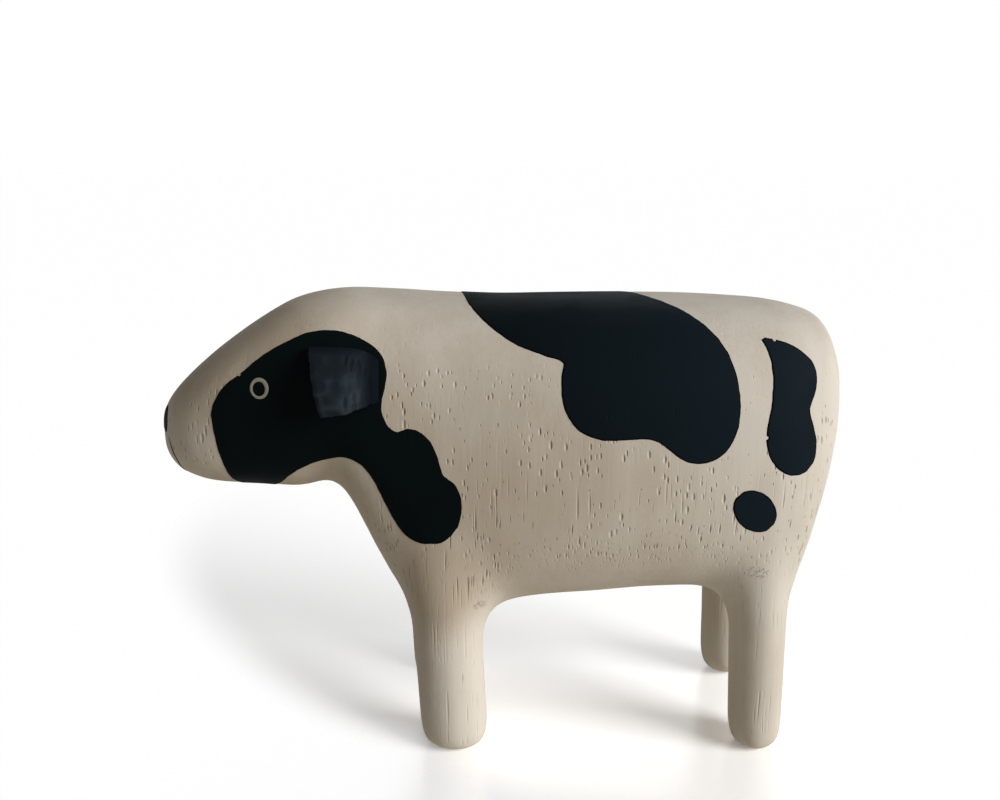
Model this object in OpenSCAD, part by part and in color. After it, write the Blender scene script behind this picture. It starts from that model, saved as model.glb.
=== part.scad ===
// Carved wooden cow that stands on its four feet, in millimetres.
// X runs from the nose to the rump, Y across the body and Z up. The origin lies on
// the floor under the middle of the body, and the cow's left side is at -Y.
// Head, trunk and legs are one block. The ears are let in on pegs, and the black
// patches, the eyes and the mouth are thin coats of paint that lie on the block.

/* [Trunk] */
// Length from the nose to the rump
cow_l = 103; // [90:1:120]
// Height at the withers
cow_h = 69.6; // [60:0.2:80]
// Width across the barrel
cow_w = 37; // [32:0.5:42]
// Power of the trunk's sections, where 2 is an ellipse and more is squarer
trunk_power = 2.6; // [2.2:0.1:3.2]

/* [Legs] */
// Distance between the centres of the left and right feet
feet_spread = 24; // [21:0.5:26]
// Distance between the centres of the left and right legs at their tops
tops_spread = 22; // [19:0.5:24]
// Height at which the legs have their top sizes
leg_h = 36; // [30:1:42]
// Height where the legs begin to fade into the trunk
fade_z = 22; // [18:0.5:26]
// Height over which the fade reaches its depth
fade_h = 14; // [10:0.5:18]
// Depth of the fade
fade_in = 4; // [2:0.5:6]
// Rounding at the edge of each foot
foot_round = 3; // [1:0.2:3.8]
// Power of the legs' sections
leg_power = 1.9; // [1.7:0.1:3]

/* [Front legs] */
// Centre of the front feet, from the middle of the body
front_x = -6.3; // [-12:0.1:-3]
// Centre of the front legs' tops, from the middle of the body
front_top_x = -8.4; // [-12:0.1:-4]
// Length of a front foot along the body
front_foot_l = 10.6; // [8:0.2:13]
// Length of a front leg's top along the body
front_top_l = 10.8; // [8:0.2:13]
// Width of a front foot
front_foot_w = 9.6; // [8:0.2:11]
// Width of a front leg's top
front_top_w = 10; // [8:0.2:12]
// Size of the blend between a front leg and the trunk
front_blend = 7; // [3:0.5:9]

/* [Hind legs] */
// Centre of the hind feet, from the middle of the body
hind_x = 40.3; // [34:0.1:42]
// Centre of the hind legs' tops, from the middle of the body
hind_top_x = 39.6; // [34:0.1:42]
// Length of a hind foot along the body
hind_foot_l = 8.2; // [7.6:0.2:11]
// Length of a hind leg's top along the body
hind_top_l = 9.2; // [8:0.2:12]
// Width of a hind foot
hind_foot_w = 9.2; // [8:0.2:11]
// Width of a hind leg's top
hind_top_w = 10; // [8:0.2:12]
// Size of the blend between a hind leg and the trunk
hind_blend = 6; // [3:0.5:9]

/* [Ears] */
// Distance of the ear's middle in front of the face patch's rear edge
ear_inset = 5.3; // [4.5:0.05:7]
// Height of the ear's top edge above its peg
ear_rise = 5; // [3:0.1:5.6]
// Depth of the ear's lower edge below its peg
ear_drop = 3.8; // [3:0.1:7]
// Length of the ear along the head
ear_l = 8.6; // [7:0.1:11]
// How far the ear's front edge leans back on its way down
ear_lean = 2.6; // [0:0.2:4]
// How far the ear stands out from the head
ear_out = 4.9; // [4:0.1:7]
// Gap behind the ear's free lower edge
ear_flap_gap = 1.2; // [0.4:0.1:2]

/* [Ear pegs] */
// Diameter of an ear peg
peg_d = 2.2; // [1.6:0.1:3]
// Depth of the peg's hole in the head
head_hole = 5; // [3:0.5:8]
// Depth of the peg's hole in the ear
ear_hole = 2.4; // [1.5:0.1:3]
// Play between a peg and the sides of its hole
peg_play = 0.05; // [0.02:0.01:0.15]
// Gap at each end of a peg
peg_end_gap = 0.2; // [0.1:0.05:0.5]
// Angle of the peg from the top of the head, in degrees
peg_angle = 68; // [62:1:74]

/* [Paint] */
// Thickness of a coat of paint
coat_t = 0.12; // [0.08:0.02:0.3]
// Gap that keeps a coat clear of what it lies on
coat_gap = 0.03; // [0.02:0.01:0.06]
// Distance of the eyes behind the nose
eye_back = 17.5; // [15:0.1:20]
// Angle of the eyes from the top of the head, in degrees
eye_angle = 72; // [60:1:80]
// Outer diameter of the ring round an eye
eye_d = 3.1; // [2.4:0.1:4]
// Inner diameter of the ring round an eye
pupil_d = 2; // [1.2:0.1:2.2]
// Length of the spot on each hip
spot_l = 7.4; // [5:0.1:9]
// Height of the spot on each hip
spot_h = 5.4; // [4:0.1:8]
// Distance of the nostrils' middles behind the nose
nostril_back = 1.1; // [0.8:0.1:2]
// Angle of the nostrils from the top of the nose, in degrees
nostril_angle = 62; // [45:1:75]
// Height of a nostril
nostril_h = 4.2; // [2:0.1:5]
// Width of a nostril
nostril_w = 2.6; // [1.5:0.1:3.5]
// Width of the mouth line
mouth_w = 0.6; // [0.4:0.1:1]

/* [Mesh] */
// Cells of the carved surface along the body
cell_count = 54; // [40:1:56]

/* [Hidden] */

left = 1;
right = -1;
wood = [0.80, 0.75, 0.67];
black = [0.09, 0.11, 0.13];
pale = [0.72, 0.70, 0.62];
round_fn = 48;
// Cells of each coat of paint, along its run and across it
face_cells = [52, 11];
saddle_cells = [50, 11];
rump_cells = [22, 5];
oval_cells = [10, 6];
mouth_cells = [24, 1];
ring_step = 15;
// Where the first row of an oval coat lies, in degrees round its rim
oval_first = 14;
cell = cow_l / cell_count;
probe = cell / 500;
smallest = cell / 200;

// The trunk's profile at stations that crowd toward both ends, from nose to rump:
// the heights of its top and underside as shares of the height at the withers,
// and its width as a share of the width across the barrel
top_shares = [
    0.690, 0.744, 0.785, 0.829, 0.879, 0.932, 0.980, 0.999, 0.997, 0.990, 0.985,
    0.986, 0.987, 0.987, 0.985, 0.980, 0.973, 0.960, 0.937, 0.862, 0.755];
under_shares = [
    0.690, 0.638, 0.606, 0.585, 0.575, 0.573, 0.567, 0.566, 0.363, 0.305, 0.302,
    0.318, 0.328, 0.338, 0.341, 0.337, 0.338, 0.372, 0.530, 0.668, 0.755];
width_shares = [
    0, 0.200, 0.370, 0.505, 0.600, 0.655, 0.705, 0.755, 0.815, 0.875, 0.930,
    0.970, 0.995, 1.000, 0.990, 0.965, 0.915, 0.820, 0.670, 0.430, 0];

// Outlines of the patches as two edges each. A point gives its distance behind the
// nose as a share of the length, and its angle from the top of the back in degrees
face_rear_share = 0.349;
face_upper_shares = [
    [0.097, 79], [0.102, 70.6], [0.118, 62.7], [0.138, 59.4], [0.161, 54.9],
    [0.186, 50.9], [0.210, 48.4], [0.234, 46.9], [0.258, 46.9], [0.279, 45.5],
    [0.304, 41.9], [0.326, 40.1], [0.341, 41.4], [face_rear_share, 48.2], [0.343, 58.4],
    [0.342, 66.3], [0.350, 71.3], [0.363, 72.1], [0.377, 69.1], [0.392, 69.1],
    [0.408, 72.8], [0.419, 80.8], [0.426, 89], [0.440, 92.5], [0.450, 98.7],
    [0.451, 107.4], [0.446, 114.4]];
face_lower_shares = [
    [0.098, 84.2], [0.102, 99], [0.108, 117.9], [0.117, 141.9], [0.131, 155],
    [0.159, 159], [0.179, 148.9], [0.201, 135.7], [0.220, 130], [0.241, 126.9],
    [0.264, 122.7], [0.282, 116.5], [0.297, 111.4], [0.308, 108.2], [0.315, 107.1],
    [0.322, 107], [0.330, 108.6], [0.339, 112.3], [0.346, 116], [0.352, 119.1],
    [0.359, 121.8], [0.368, 124.4], [0.379, 125.3], [0.392, 125.1], [0.408, 123.7],
    [0.423, 122.2], [0.436, 118.9]];
saddle_far_shares = [
    [0.447, -12], [0.455, -21], [0.470, -27.5], [0.490, -31.5], [0.512, -33],
    [0.535, -32], [0.557, -29.5], [0.580, -27.5], [0.603, -27], [0.625, -26.5],
    [0.645, -24.5], [0.662, -20.5], [0.677, -16], [0.690, -11], [0.703, -5.5],
    [0.715, 1.5], [0.728, 8], [0.744, 14], [0.760, 19.5], [0.777, 25],
    [0.793, 30.5], [0.808, 36.5], [0.819, 42.5], [0.827, 50], [0.831, 58],
    [0.831, 64]];
saddle_near_shares = [
    [0.450, -5], [0.456, 5.8], [0.464, 14.4], [0.480, 22.3], [0.503, 29.1],
    [0.525, 33.9], [0.549, 37.6], [0.574, 40.6], [0.594, 43.3], [0.590, 49.6],
    [0.592, 57.7], [0.600, 63.9], [0.613, 69], [0.632, 72.3], [0.653, 73.8],
    [0.675, 73.9], [0.697, 73.8], [0.714, 74.5], [0.730, 77.2], [0.746, 81.3],
    [0.763, 84.5], [0.780, 85.2], [0.797, 83.8], [0.812, 80], [0.823, 74.5],
    [0.829, 69]];
rump_front_shares = [
    [0.867, 33.8], [0.872, 37], [0.877, 42], [0.879, 48], [0.878, 54],
    [0.876, 60], [0.872, 66], [0.870, 73], [0.874, 79.5], [0.885, 85.5],
    [0.899, 89.1], [0.908, 90.6]];
rump_rear_shares = [
    [0.873, 32.8], [0.895, 33.4], [0.918, 35.4], [0.937, 39.7], [0.943, 46.3],
    [0.939, 53.3], [0.932, 59.3], [0.937, 66.4], [0.944, 75.5], [0.943, 84.4],
    [0.932, 89.4], [0.920, 90.8]];
mouth_shares = [
    [0.019, 92], [0.024, 108], [0.031, 122], [0.036, 137], [0.039, 157], [0.040, 180],
    [0.039, 203], [0.036, 223], [0.031, 238], [0.024, 252], [0.019, 268]];
hip_spot_share = [0.860, 107.7];
spot_tilt = 47;
// On the right side the patches lie a little further forward and reach lower
right_patch_shift_share = -0.018;
right_rump_shift_share = [-0.030, 9];
right_spot_shift_share = [-0.075, -3];

// How far the ear reaches out from the head, down its height and along its length,
// and how high its top edge and how deep its lower edge lie along its length
ear_drop_shares = [0, 0.14, 0.30, 0.46, 0.64, 0.82, 1];
ear_out_shares = [0.14, 0.40, 0.66, 0.84, 0.95, 1, 0.94];
ear_flap_shares = [0, 0, 0, 0, 0.10, 0.55, 1];
ear_long_shares = [0, 0.08, 0.24, 0.42, 0.60, 0.76, 0.88, 1];
ear_full_shares = [0.96, 1, 0.97, 0.89, 0.77, 0.60, 0.38, 0.14];
ear_high_shares = [1, 1, 1, 1, 0.98, 0.92, 0.82, 0.68];
ear_low_shares = [1, 1, 0.98, 0.93, 0.86, 0.78, 0.70, 0.62];

// Curve through the values of a table, where a is the value before the stretch
// from b to c and d is the value after it
function curve(a, b, c, d, f) =
    ((3 * (b - c) + d - a) * f * f * f + (2 * a - 5 * b + 4 * c - d) * f * f
        + (c - a) * f + 2 * b) / 2;

// Value of a table at a place u, with the values that continue it past its ends
function table_at(t, before, after, u) =
    let (n = len(t) - 1, i = min(floor(u), n - 1))
    curve(i == 0 ? before : t[i - 1], t[i], t[i + 1],
        i == n - 1 ? after : t[i + 2], u - i);

// Point of an edge at a share u of its run
function edge_at(t, u) =
    let (n = len(t) - 1)
    table_at(t, 2 * t[0] - t[1], 2 * t[n] - t[n - 1], u * n);

// Middle height, half height and half width of the trunk at a place x
function section(x) =
    let (n = len(top_shares) - 1,
        share = min(max(x / cow_l + 1 / 2, 0), 1),
        u = acos(1 - 2 * share) / 180 * n,
        top = cow_h * table_at(top_shares, under_shares[1], under_shares[n - 1], u),
        under = cow_h * table_at(under_shares, top_shares[1], top_shares[n - 1], u),
        wide = cow_w / 2 * table_at(width_shares, -width_shares[1], -width_shares[n - 1], u))
    [(top + under) / 2, max((top - under) / 2, smallest), max(wide, smallest)];

// Distance of a point from a squared ellipse about the origin, negative inside
function oval_gap(a, b, half_a, half_b, power) =
    let (g = pow(pow(abs(a) / half_a, power) + pow(abs(b) / half_b, power), 1 / power),
        r = norm([a, b]))
    r < smallest ? -min(half_a, half_b) : r - r / g;

function trunk_gap(s, p) =
    let (d = oval_gap(p.y, p.z - s[0], s[2], s[1], trunk_power),
        past = abs(p.x) - cow_l / 2)
    past > 0 ? norm([max(d, 0), past]) : d;

// Sizes of the legs: centre, half length and half width, each at the foot and the top
front_leg = [front_x, front_top_x, front_foot_l / 2, front_top_l / 2,
    front_foot_w / 2, front_top_w / 2];
hind_leg = [hind_x, hind_top_x, hind_foot_l / 2, hind_top_l / 2,
    hind_foot_w / 2, hind_top_w / 2];

function mix(a, b, f) = a + (b - a) * f;

function one_leg_gap(leg, p) =
    let (f = min(max(p.z / leg_h, 0), 1),
        faded = max(p.z - fade_z, 0) / fade_h,
        d = oval_gap(p.x - mix(leg[0], leg[1], f),
                abs(p.y) - mix(feet_spread, tops_spread, f) / 2,
                mix(leg[2], leg[3], f), mix(leg[4], leg[5], f), leg_power)
            + fade_in * faded * faded,
        in_wall = d + foot_round, in_sole = foot_round - p.z)
    norm([max(in_wall, 0), max(in_sole, 0)]) + min(max(in_wall, in_sole), 0) - foot_round;

// Union of two shapes with a rounded corner of size k between them
function blend(a, b, k) =
    let (h = max(k - abs(a - b), 0) / k) min(a, b) - h * h * k / 4;

// Distance of a point from the carved surface, where s is the trunk's section there
function gap_in(s, p) =
    blend(blend(trunk_gap(s, p), one_leg_gap(front_leg, p), front_blend),
        one_leg_gap(hind_leg, p), hind_blend);
function gap(p) = gap_in(section(p.x), p);

function slope(p, at_p) =
    [gap(p + [probe, 0, 0]) - at_p, gap(p + [0, probe, 0]) - at_p,
        gap(p + [0, 0, probe]) - at_p] / probe;
function facing(p) = let (g = slope(p, gap(p))) g / norm(g);
function raised(p, lift) = p + facing(p) * lift;

// Moves a point onto the carved surface in a few steps
function settle(p, steps) =
    steps == 0 ? p :
    let (at_p = gap(p), g = slope(p, at_p),
        step = max(min(at_p / (g * g), cell / 2), -cell / 2), q = p - g * step)
    settle([q.x, q.y, max(q.z, 0)], steps - 1);

// Follows a ray from the trunk's axis to the carved surface
function follow(s, p, ray, steps) =
    steps == 0 ? p : follow(s, p - ray * gap_in(s, p), ray, steps - 1);

// Point of the carved surface at a place x and a turn from the top of the back,
// where a turn toward the left side counts up
function skin(x, turn) =
    let (s = section(x), ray = [0, -sin(turn), cos(turn)],
        r = pow(pow(abs(ray.y) / s[2], trunk_power)
            + pow(abs(ray.z) / s[1], trunk_power), -1 / trunk_power))
    follow(s, [x, 0, s[0]] + ray * r, ray, 4);
function along(share) = cow_l * (share - 1 / 2);
ear_x = along(face_rear_share) - ear_inset;
function skin_at(place) = skin(along(place[0]), place[1]);

// Point of the carved surface beside the point p: u further back and v further round,
// as seen on the side that p lies on
function beside(p, u, v) =
    let (n = facing(p), back = [1, 0, 0] - n * n.x, e = back / norm(back),
        round = cross(n, e) * (p.y < 0 ? -1 : 1))
    settle(p + e * u + round * v, 4);

// Turn at which the skin reaches a height z at a place x
function turn_at(x, z) =
    let (s = section(x), up = z - s[0], f = min(abs(up) / s[1], 1))
    atan2(s[2] * pow(1 - pow(f, trunk_power), 1 / trunk_power), up);

// Triangles of a body that is lofted through rings of n points. Its ends are closed
// by strips between the first and the second half of a ring, or it is joined up
function four(a, b, c, d) = [[a, b, c], [a, c, d]];
function loft_faces(rings, n, joined) =
    let (last = rings - 1, half = n / 2)
    [for (r = [0:joined ? last : last - 1], i = [0:n - 1])
        let (a = r * n, b = ((r + 1) % rings) * n, j = (i + 1) % n)
        each four(a + i, a + j, b + j, b + i),
     if (!joined) for (i = [0:half - 2])
        each four(n - 1 - i, n - 2 - i, i + 1, i),
     if (!joined) for (i = [0:half - 2]) let (a = last * n)
        each four(a + i, a + i + 1, a + n - 2 - i, a + n - 1 - i)];

function turned(faces) = [for (f = faces) [f[2], f[1], f[0]]];

module loft(rings, joined = false, inside_out = false) {
    faces = loft_faces(len(rings), len(rings[0]), joined);
    polyhedron([for (r = rings) each r], inside_out ? turned(faces) : faces);
}

// Coat of paint over rows of points of the carved surface
module coat(rows, side) {
    n = len(rows[0]);
    loft([for (row = rows) concat(
            [for (p = row) raised(p, coat_gap)],
            [for (i = [n - 1:-1:0]) raised(row[i], coat_gap + coat_t)])],
        inside_out = side == right);
}

// Coat between two edges, on the left or the right side
module patch(edge_a, edge_b, cells, side, shift = [0, 0]) {
    long = cells[0];
    wide = cells[1];
    coat([for (c = [0:long]) let (a = edge_at(edge_a, c / long) + shift,
        b = edge_at(edge_b, c / long) + shift)
        [for (r = [0:wide]) let (q = mix(a, b, r / wide)) skin_at([q[0], q[1] * side])]],
        side);
}

// Oval coat around a point of the carved surface, with its long axis at a tilt
module oval_coat(middle, l, h, tilt, side) {
    long = oval_cells[0];
    wide = oval_cells[1];
    coat([for (c = [0:long]) let (t = mix(180 - oval_first, oval_first, c / long))
        [for (r = [0:wide])
            let (a = l / 2 * cos(t), b = h / 2 * sin(t) * mix(-1, 1, r / wide))
            beside(middle, a * cos(tilt) - b * sin(tilt), a * sin(tilt) + b * cos(tilt))]],
        side);
}

// Grid of the carved surface's left half, which is mirrored to make the right half
module carved_surface() {
    nx = cell_count + 3;
    ny = ceil(cow_w / 2 / cell) + 2;
    nz = ceil(cow_h / cell) + 3;
    function grid_x(i) = (i - 3 / 2) * cell - cow_l / 2;
    function grid_p(i, j, k) = [grid_x(i), j * cell, (k - 1 / 2) * cell];
    function at(i, j, k) = (i * (ny + 1) + j) * (nz + 1) + k;
    sections = [for (i = [0:nx]) section(grid_x(i))];
    values = [for (i = [0:nx], j = [0:ny], k = [0:nz])
        let (p = grid_p(i, j, k)) max(gap_in(sections[i], p), -p.z)];
    solid = [for (v = values) v < 0 ? 1 : 0];
    corners = [for (a = [0, 1], b = [0, 1], c = [0, 1]) [a, b, c]];
    edges = [for (a = corners, b = corners) if (b * b - a * a == 1 && (b - a) * (b - a) == 1) [a, b]];
    function cell_at(i, j, k) = (i * ny + j) * nz + k;
    crossed = [for (i = [0:nx - 1], j = [0:ny - 1], k = [0:nz - 1])
        let (o = at(i, j, k), up = ny + 1, n = nz + 1,
            sum = solid[o] + solid[o + 1] + solid[o + n] + solid[o + n + 1]
                + solid[o + up * n] + solid[o + up * n + 1]
                + solid[o + up * n + n] + solid[o + up * n + n + 1])
        sum > 0 && sum < 8 ? 1 : 0];
    count = [for (i = 0, n = 0; i < len(crossed); n = n + crossed[i], i = i + 1) n];
    function mean_crossing(i, j, k) =
        let (hits = [for (e = edges)
            let (a = [i, j, k] + e[0], b = [i, j, k] + e[1],
                va = values[at(a.x, a.y, a.z)], vb = values[at(b.x, b.y, b.z)])
            if ((va < 0) != (vb < 0))
                mix(grid_p(a.x, a.y, a.z), grid_p(b.x, b.y, b.z), va / (va - vb))])
        [for (h = hits) 1] * hits / len(hits);
    half = [for (i = [0:nx - 1], j = [0:ny - 1], k = [0:nz - 1])
        if (crossed[cell_at(i, j, k)] == 1) settle(mean_crossing(i, j, k), 3)];
    n = len(half);
    points = concat(half, [for (p = half) [p.x, -p.y, p.z]]);
    function vertex(i, j, k) =
        j < 0 ? n + count[cell_at(i, -1 - j, k)] : count[cell_at(i, j, k)];
    function quad(a, b, c, d, facing) =
        let (f = norm(points[a] - points[c]) < norm(points[b] - points[d])
            ? four(a, b, c, d) : four(b, c, d, a))
        facing ? turned(f) : f;
    function x_quad(i, j, k) = quad(vertex(i, j - 1, k - 1), vertex(i, j, k - 1),
        vertex(i, j, k), vertex(i, j - 1, k), solid[at(i, j, k)] == 1);
    function y_quad(i, j, k) = quad(vertex(i - 1, j, k - 1), vertex(i - 1, j, k),
        vertex(i, j, k), vertex(i, j, k - 1), solid[at(i, j, k)] == 1);
    function z_quad(i, j, k) = quad(vertex(i - 1, j - 1, k), vertex(i, j - 1, k),
        vertex(i, j, k), vertex(i - 1, j, k), solid[at(i, j, k)] == 1);
    seam = [
        for (i = [0:nx - 1], k = [1:nz - 1])
            if (solid[at(i, 0, k)] != solid[at(i + 1, 0, k)]) each x_quad(i, 0, k),
        for (i = [1:nx - 1], k = [0:nz - 1])
            if (solid[at(i, 0, k)] != solid[at(i, 0, k + 1)]) each z_quad(i, 0, k)];
    left_faces = [
        for (i = [0:nx - 1], j = [1:ny - 1], k = [1:nz - 1])
            if (solid[at(i, j, k)] != solid[at(i + 1, j, k)]) each x_quad(i, j, k),
        for (i = [1:nx - 1], j = [0:ny - 1], k = [1:nz - 1])
            if (solid[at(i, j, k)] != solid[at(i, j + 1, k)]) each y_quad(i, j, k),
        for (i = [1:nx - 1], j = [1:ny - 1], k = [0:nz - 1])
            if (solid[at(i, j, k)] != solid[at(i, j, k + 1)]) each z_quad(i, j, k)];
    right_faces = [for (f = left_faces) [f[2] + n, f[1] + n, f[0] + n]];
    polyhedron(points, concat(seam, left_faces, right_faces));
}

// Cylinder along the ear peg's axis, from below the head's skin to above it
module on_peg_axis(side, from, to, d) {
    foot = skin(ear_x, peg_angle * side);
    translate(foot) rotate([90 * side, 0, 0]) translate([0, 0, from])
        cylinder(h = to - from, d = d, $fn = round_fn);
}

module ear_peg(side) {
    on_peg_axis(side, peg_end_gap - head_hole, ear_hole - peg_end_gap, peg_d);
}

module peg_hole(side) {
    on_peg_axis(side, -head_hole, ear_hole, peg_d + 2 * peg_play);
}

module carved_block() {
    color(wood) difference() {
        carved_surface();
        peg_hole(left);
        peg_hole(right);
    }
}

module ear(side) {
    seat = 2 * coat_gap + coat_t;
    peg_z = skin(ear_x, peg_angle).z;
    n = len(ear_drop_shares);
    color(black) difference() {
        loft([for (u = [0:len(ear_long_shares) - 1])
            let (roots = [for (f = ear_drop_shares)
                    let (back = ear_long_shares[u],
                        x = ear_x + ear_l * (back - 1 / 2)
                            + ear_lean * (f - 1 / 2) * (1 - back),
                        z = peg_z + mix(ear_rise * ear_high_shares[u],
                            -ear_drop * ear_low_shares[u], f))
                    skin(x, side * turn_at(x, z))])
            concat(
                [for (v = [0:n - 1]) raised(roots[v], seat + ear_flap_gap
                    * ear_flap_shares[v] * ear_full_shares[u])],
                [for (v = [n - 1:-1:0]) raised(roots[v], seat + ear_out
                    * ear_out_shares[v] * ear_full_shares[u])])],
            inside_out = side == right);
        peg_hole(side);
    }
}

module face_patch(side, shift = [0, 0]) {
    color(black) difference() {
        patch(face_upper_shares, face_lower_shares, face_cells, side, shift);
        peg_hole(side);
    }
}

module saddle_patch() {
    color(black) patch(saddle_far_shares, saddle_near_shares, saddle_cells, left);
}

module rump_patch(side, shift = [0, 0]) {
    color(black) patch(rump_rear_shares, rump_front_shares, rump_cells, side, shift);
}

module hip_spot(side, shift = [0, 0]) {
    place = hip_spot_share + shift;
    color(black) oval_coat(skin_at([place[0], place[1] * side]), spot_l, spot_h,
        spot_tilt, side);
}

module eye_ring(side) {
    middle = skin(eye_back - cow_l / 2, eye_angle * side);
    low = 2 * coat_gap + coat_t;
    color(pale) loft([for (t = [0:ring_step:360 - ring_step])
        let (outer = beside(middle, eye_d / 2 * cos(t), eye_d / 2 * sin(t)),
            inner = beside(middle, pupil_d / 2 * cos(t), pupil_d / 2 * sin(t)))
        [raised(outer, low), raised(inner, low),
            raised(inner, low + coat_t), raised(outer, low + coat_t)]],
        joined = true, inside_out = side == right);
}

module nostril(side) {
    color(black) oval_coat(skin(nostril_back - cow_l / 2, nostril_angle * side),
        nostril_w, nostril_h, 0, side);
}

module mouth_line() {
    half_share = mouth_w / 4 / cow_l;
    color(black) patch([for (q = mouth_shares) q + [half_share, 0]],
        [for (q = mouth_shares) q - [half_share, 0]], mouth_cells, left);
}

carved_block();
ear(left);  // ear_left
ear(right);  // ear_right
color(wood) ear_peg(left);  // ear_peg_left
color(wood) ear_peg(right);  // ear_peg_right
face_patch(left);  // face_patch_left
face_patch(right, [right_patch_shift_share, 0]);  // face_patch_right
saddle_patch();
rump_patch(left);  // rump_patch_left
rump_patch(right, right_rump_shift_share);  // rump_patch_right
hip_spot(left);  // hip_spot_left
hip_spot(right, right_spot_shift_share);  // hip_spot_right
eye_ring(left);  // eye_ring_left
eye_ring(right);  // eye_ring_right
nostril(left);  // nostril_left
nostril(right);  // nostril_right
mouth_line();
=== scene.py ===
"""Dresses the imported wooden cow: a smooth whitewashed block, coats of black paint that
lie on it, rough-carved ears, painted eyes, and a pale stage. Sizes are in metres."""
import math

import bmesh
import bpy
import numpy as np
from bpy.props import FloatProperty, FloatVectorProperty, IntProperty, PointerProperty
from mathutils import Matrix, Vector, noise
from mathutils.bvhtree import BVHTree
from mathutils.kdtree import KDTree


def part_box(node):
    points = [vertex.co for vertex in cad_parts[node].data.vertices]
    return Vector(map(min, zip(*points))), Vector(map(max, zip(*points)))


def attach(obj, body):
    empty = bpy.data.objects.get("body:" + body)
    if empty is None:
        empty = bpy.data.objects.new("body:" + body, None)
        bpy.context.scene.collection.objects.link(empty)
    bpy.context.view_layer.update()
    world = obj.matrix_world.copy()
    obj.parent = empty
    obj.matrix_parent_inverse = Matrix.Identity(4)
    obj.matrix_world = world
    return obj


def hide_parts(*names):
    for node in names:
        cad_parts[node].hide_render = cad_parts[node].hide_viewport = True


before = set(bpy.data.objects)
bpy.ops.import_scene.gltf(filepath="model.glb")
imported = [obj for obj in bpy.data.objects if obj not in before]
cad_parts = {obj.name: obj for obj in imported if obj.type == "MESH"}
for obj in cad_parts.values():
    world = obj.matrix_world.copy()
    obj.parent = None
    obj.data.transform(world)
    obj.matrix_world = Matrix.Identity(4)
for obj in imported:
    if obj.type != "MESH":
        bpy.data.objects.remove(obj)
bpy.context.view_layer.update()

bl_info = {
    "name": "Wooden Cow",
    "version": (1, 0, 0),
    "blender": (4, 5, 0),
    "location": "3D View > Sidebar > Cow",
    "description": "A carved and painted wooden cow on a pale stage",
    "category": "Object",
}

MM = 0.001
WHITE = (1.0, 1.0, 1.0, 1.0)

# The sides of the cow, and which way each lies along Y.
HANDS = {"left": -1, "right": 1}

# A line inside the trunk that angles are measured from: its height at x = 0, and its slope.
TRUNK_HEIGHT, TRUNK_SLOPE = 0.0504, 0.0408

# The right fore leg: below this height, over this much of it, ahead of this x, beyond this y.
LEG_TOP, LEG_BEND, FORE_END, INNER_SIDE = 30 * MM, 20 * MM, 6 * MM, 4 * MM

# Steps that even out a surface, toward the neighbouring points and back out.
FAIR_IN, FAIR_OUT = 0.55, -0.57

# What counts as the outer face of a coat and as a spike in its rim: cosines of a turn.
OUTER_FACE, SPIKE, CORNER = 0.6, -0.3, 0.75

# Uneven surfaces: waves to the metre, and the share of each kind.
SANDED = ((140.0, 1.0), (60.0, 1.0))
HAND_DRAWN = ((900.0, 1.0), (330.0, 0.8))

# Room round an ear peg in its hole, round it in the paint, and at its end. The drill.
PEG_ROOM, PAINT_ROOM, HOLE_END = 0.05 * MM, 0.1 * MM, 0.2 * MM
HOLE_SIDES, DRILL_LENGTH = 48, 12 * MM

# Knife cuts: how many, between which shares of the ear's length, how deep, and radii in mm.
BROAD_CUTS = (22, 0.0, 0.70, 0.8, (2.6, 3.0, 1.9))
SCOOPS = (40, 0.55, 1.0, 0.9, (0.50, 1.5, 1.7))

# Nicks in the rim of a patch: a place in mm, and a radius.
NICKS = {"face_patch_left": (((-37.1, -11.7, 58.8), 0.22 * MM),),
         "rump_patch_left": (((39.6, -12.2, 64.0), 0.24 * MM),
                             ((38.0, -17.4, 51.2), 0.22 * MM))}

# Painted shade in the wood's colour, as thinner and darker whitewash over the forebody, the
# brow and the top of the fore leg, and painted light as a little thicker whitewash beyond the
# forebody: the centre and the radii of an ellipse for each.
PAINTED_SHADE_BODY = (-8 * MM, 0, 43 * MM), (48 * MM, 1, 27 * MM)
PAINTED_SHADE_BROW = (-38 * MM, 0, 62 * MM), (18 * MM, 1, 12 * MM)
PAINTED_SHADE_SHOULDER = (-7.5 * MM, 0, 27 * MM), (7 * MM, 1, 8 * MM)

# Torn cuts where a leg meets the belly, along the body, up, and across.
HIND_CUTS = {"along": 38.2 * MM, "height": 30.1 * MM, "reach": 1.9 * MM}
FORE_CUTS = {"along": -2.4 * MM, "height": 24.2 * MM, "reach": 1.3 * MM}

# Clouds in the wood: the scale along the grain, waves to the metre, detail, roughness.
FIBRES = (0.03, 1500.0, 3.0, 0.6)
BANDS = (0.10, 210.0, 3.0, 0.55)
BLOTCHES = (0.7, 70.0, 3.0, 0.5)

# The stage: the way to the window, the camera, and the zone that shows the shadow.
KEY_FROM = Vector((0.81, -0.44, 0.37))
CAMERA_AT, CAMERA_FALL = (0.0006, -0.1657, 0.0951), 0.2591
SENSOR_WIDTH, LENS = 36, 39.6
FLOOR_REACH = 9
SHADOW_ZONE = (5 * MM, 45 * MM, 0), (95 * MM, 56 * MM, 1), math.radians(133)


# Settings


def length(name, description, default):
    return FloatProperty(name=name, description=description, default=default,
                         min=0.0, precision=5, unit="LENGTH")


def share(name, description, default):
    return FloatProperty(name=name, description=description, default=default,
                         min=0.0, max=1.0, subtype="FACTOR")


def colour(name, description, default):
    return FloatVectorProperty(name=name, description=description, size=4, min=0.0,
                               max=1.0, subtype="COLOR", default=(*default, 1.0))


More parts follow.
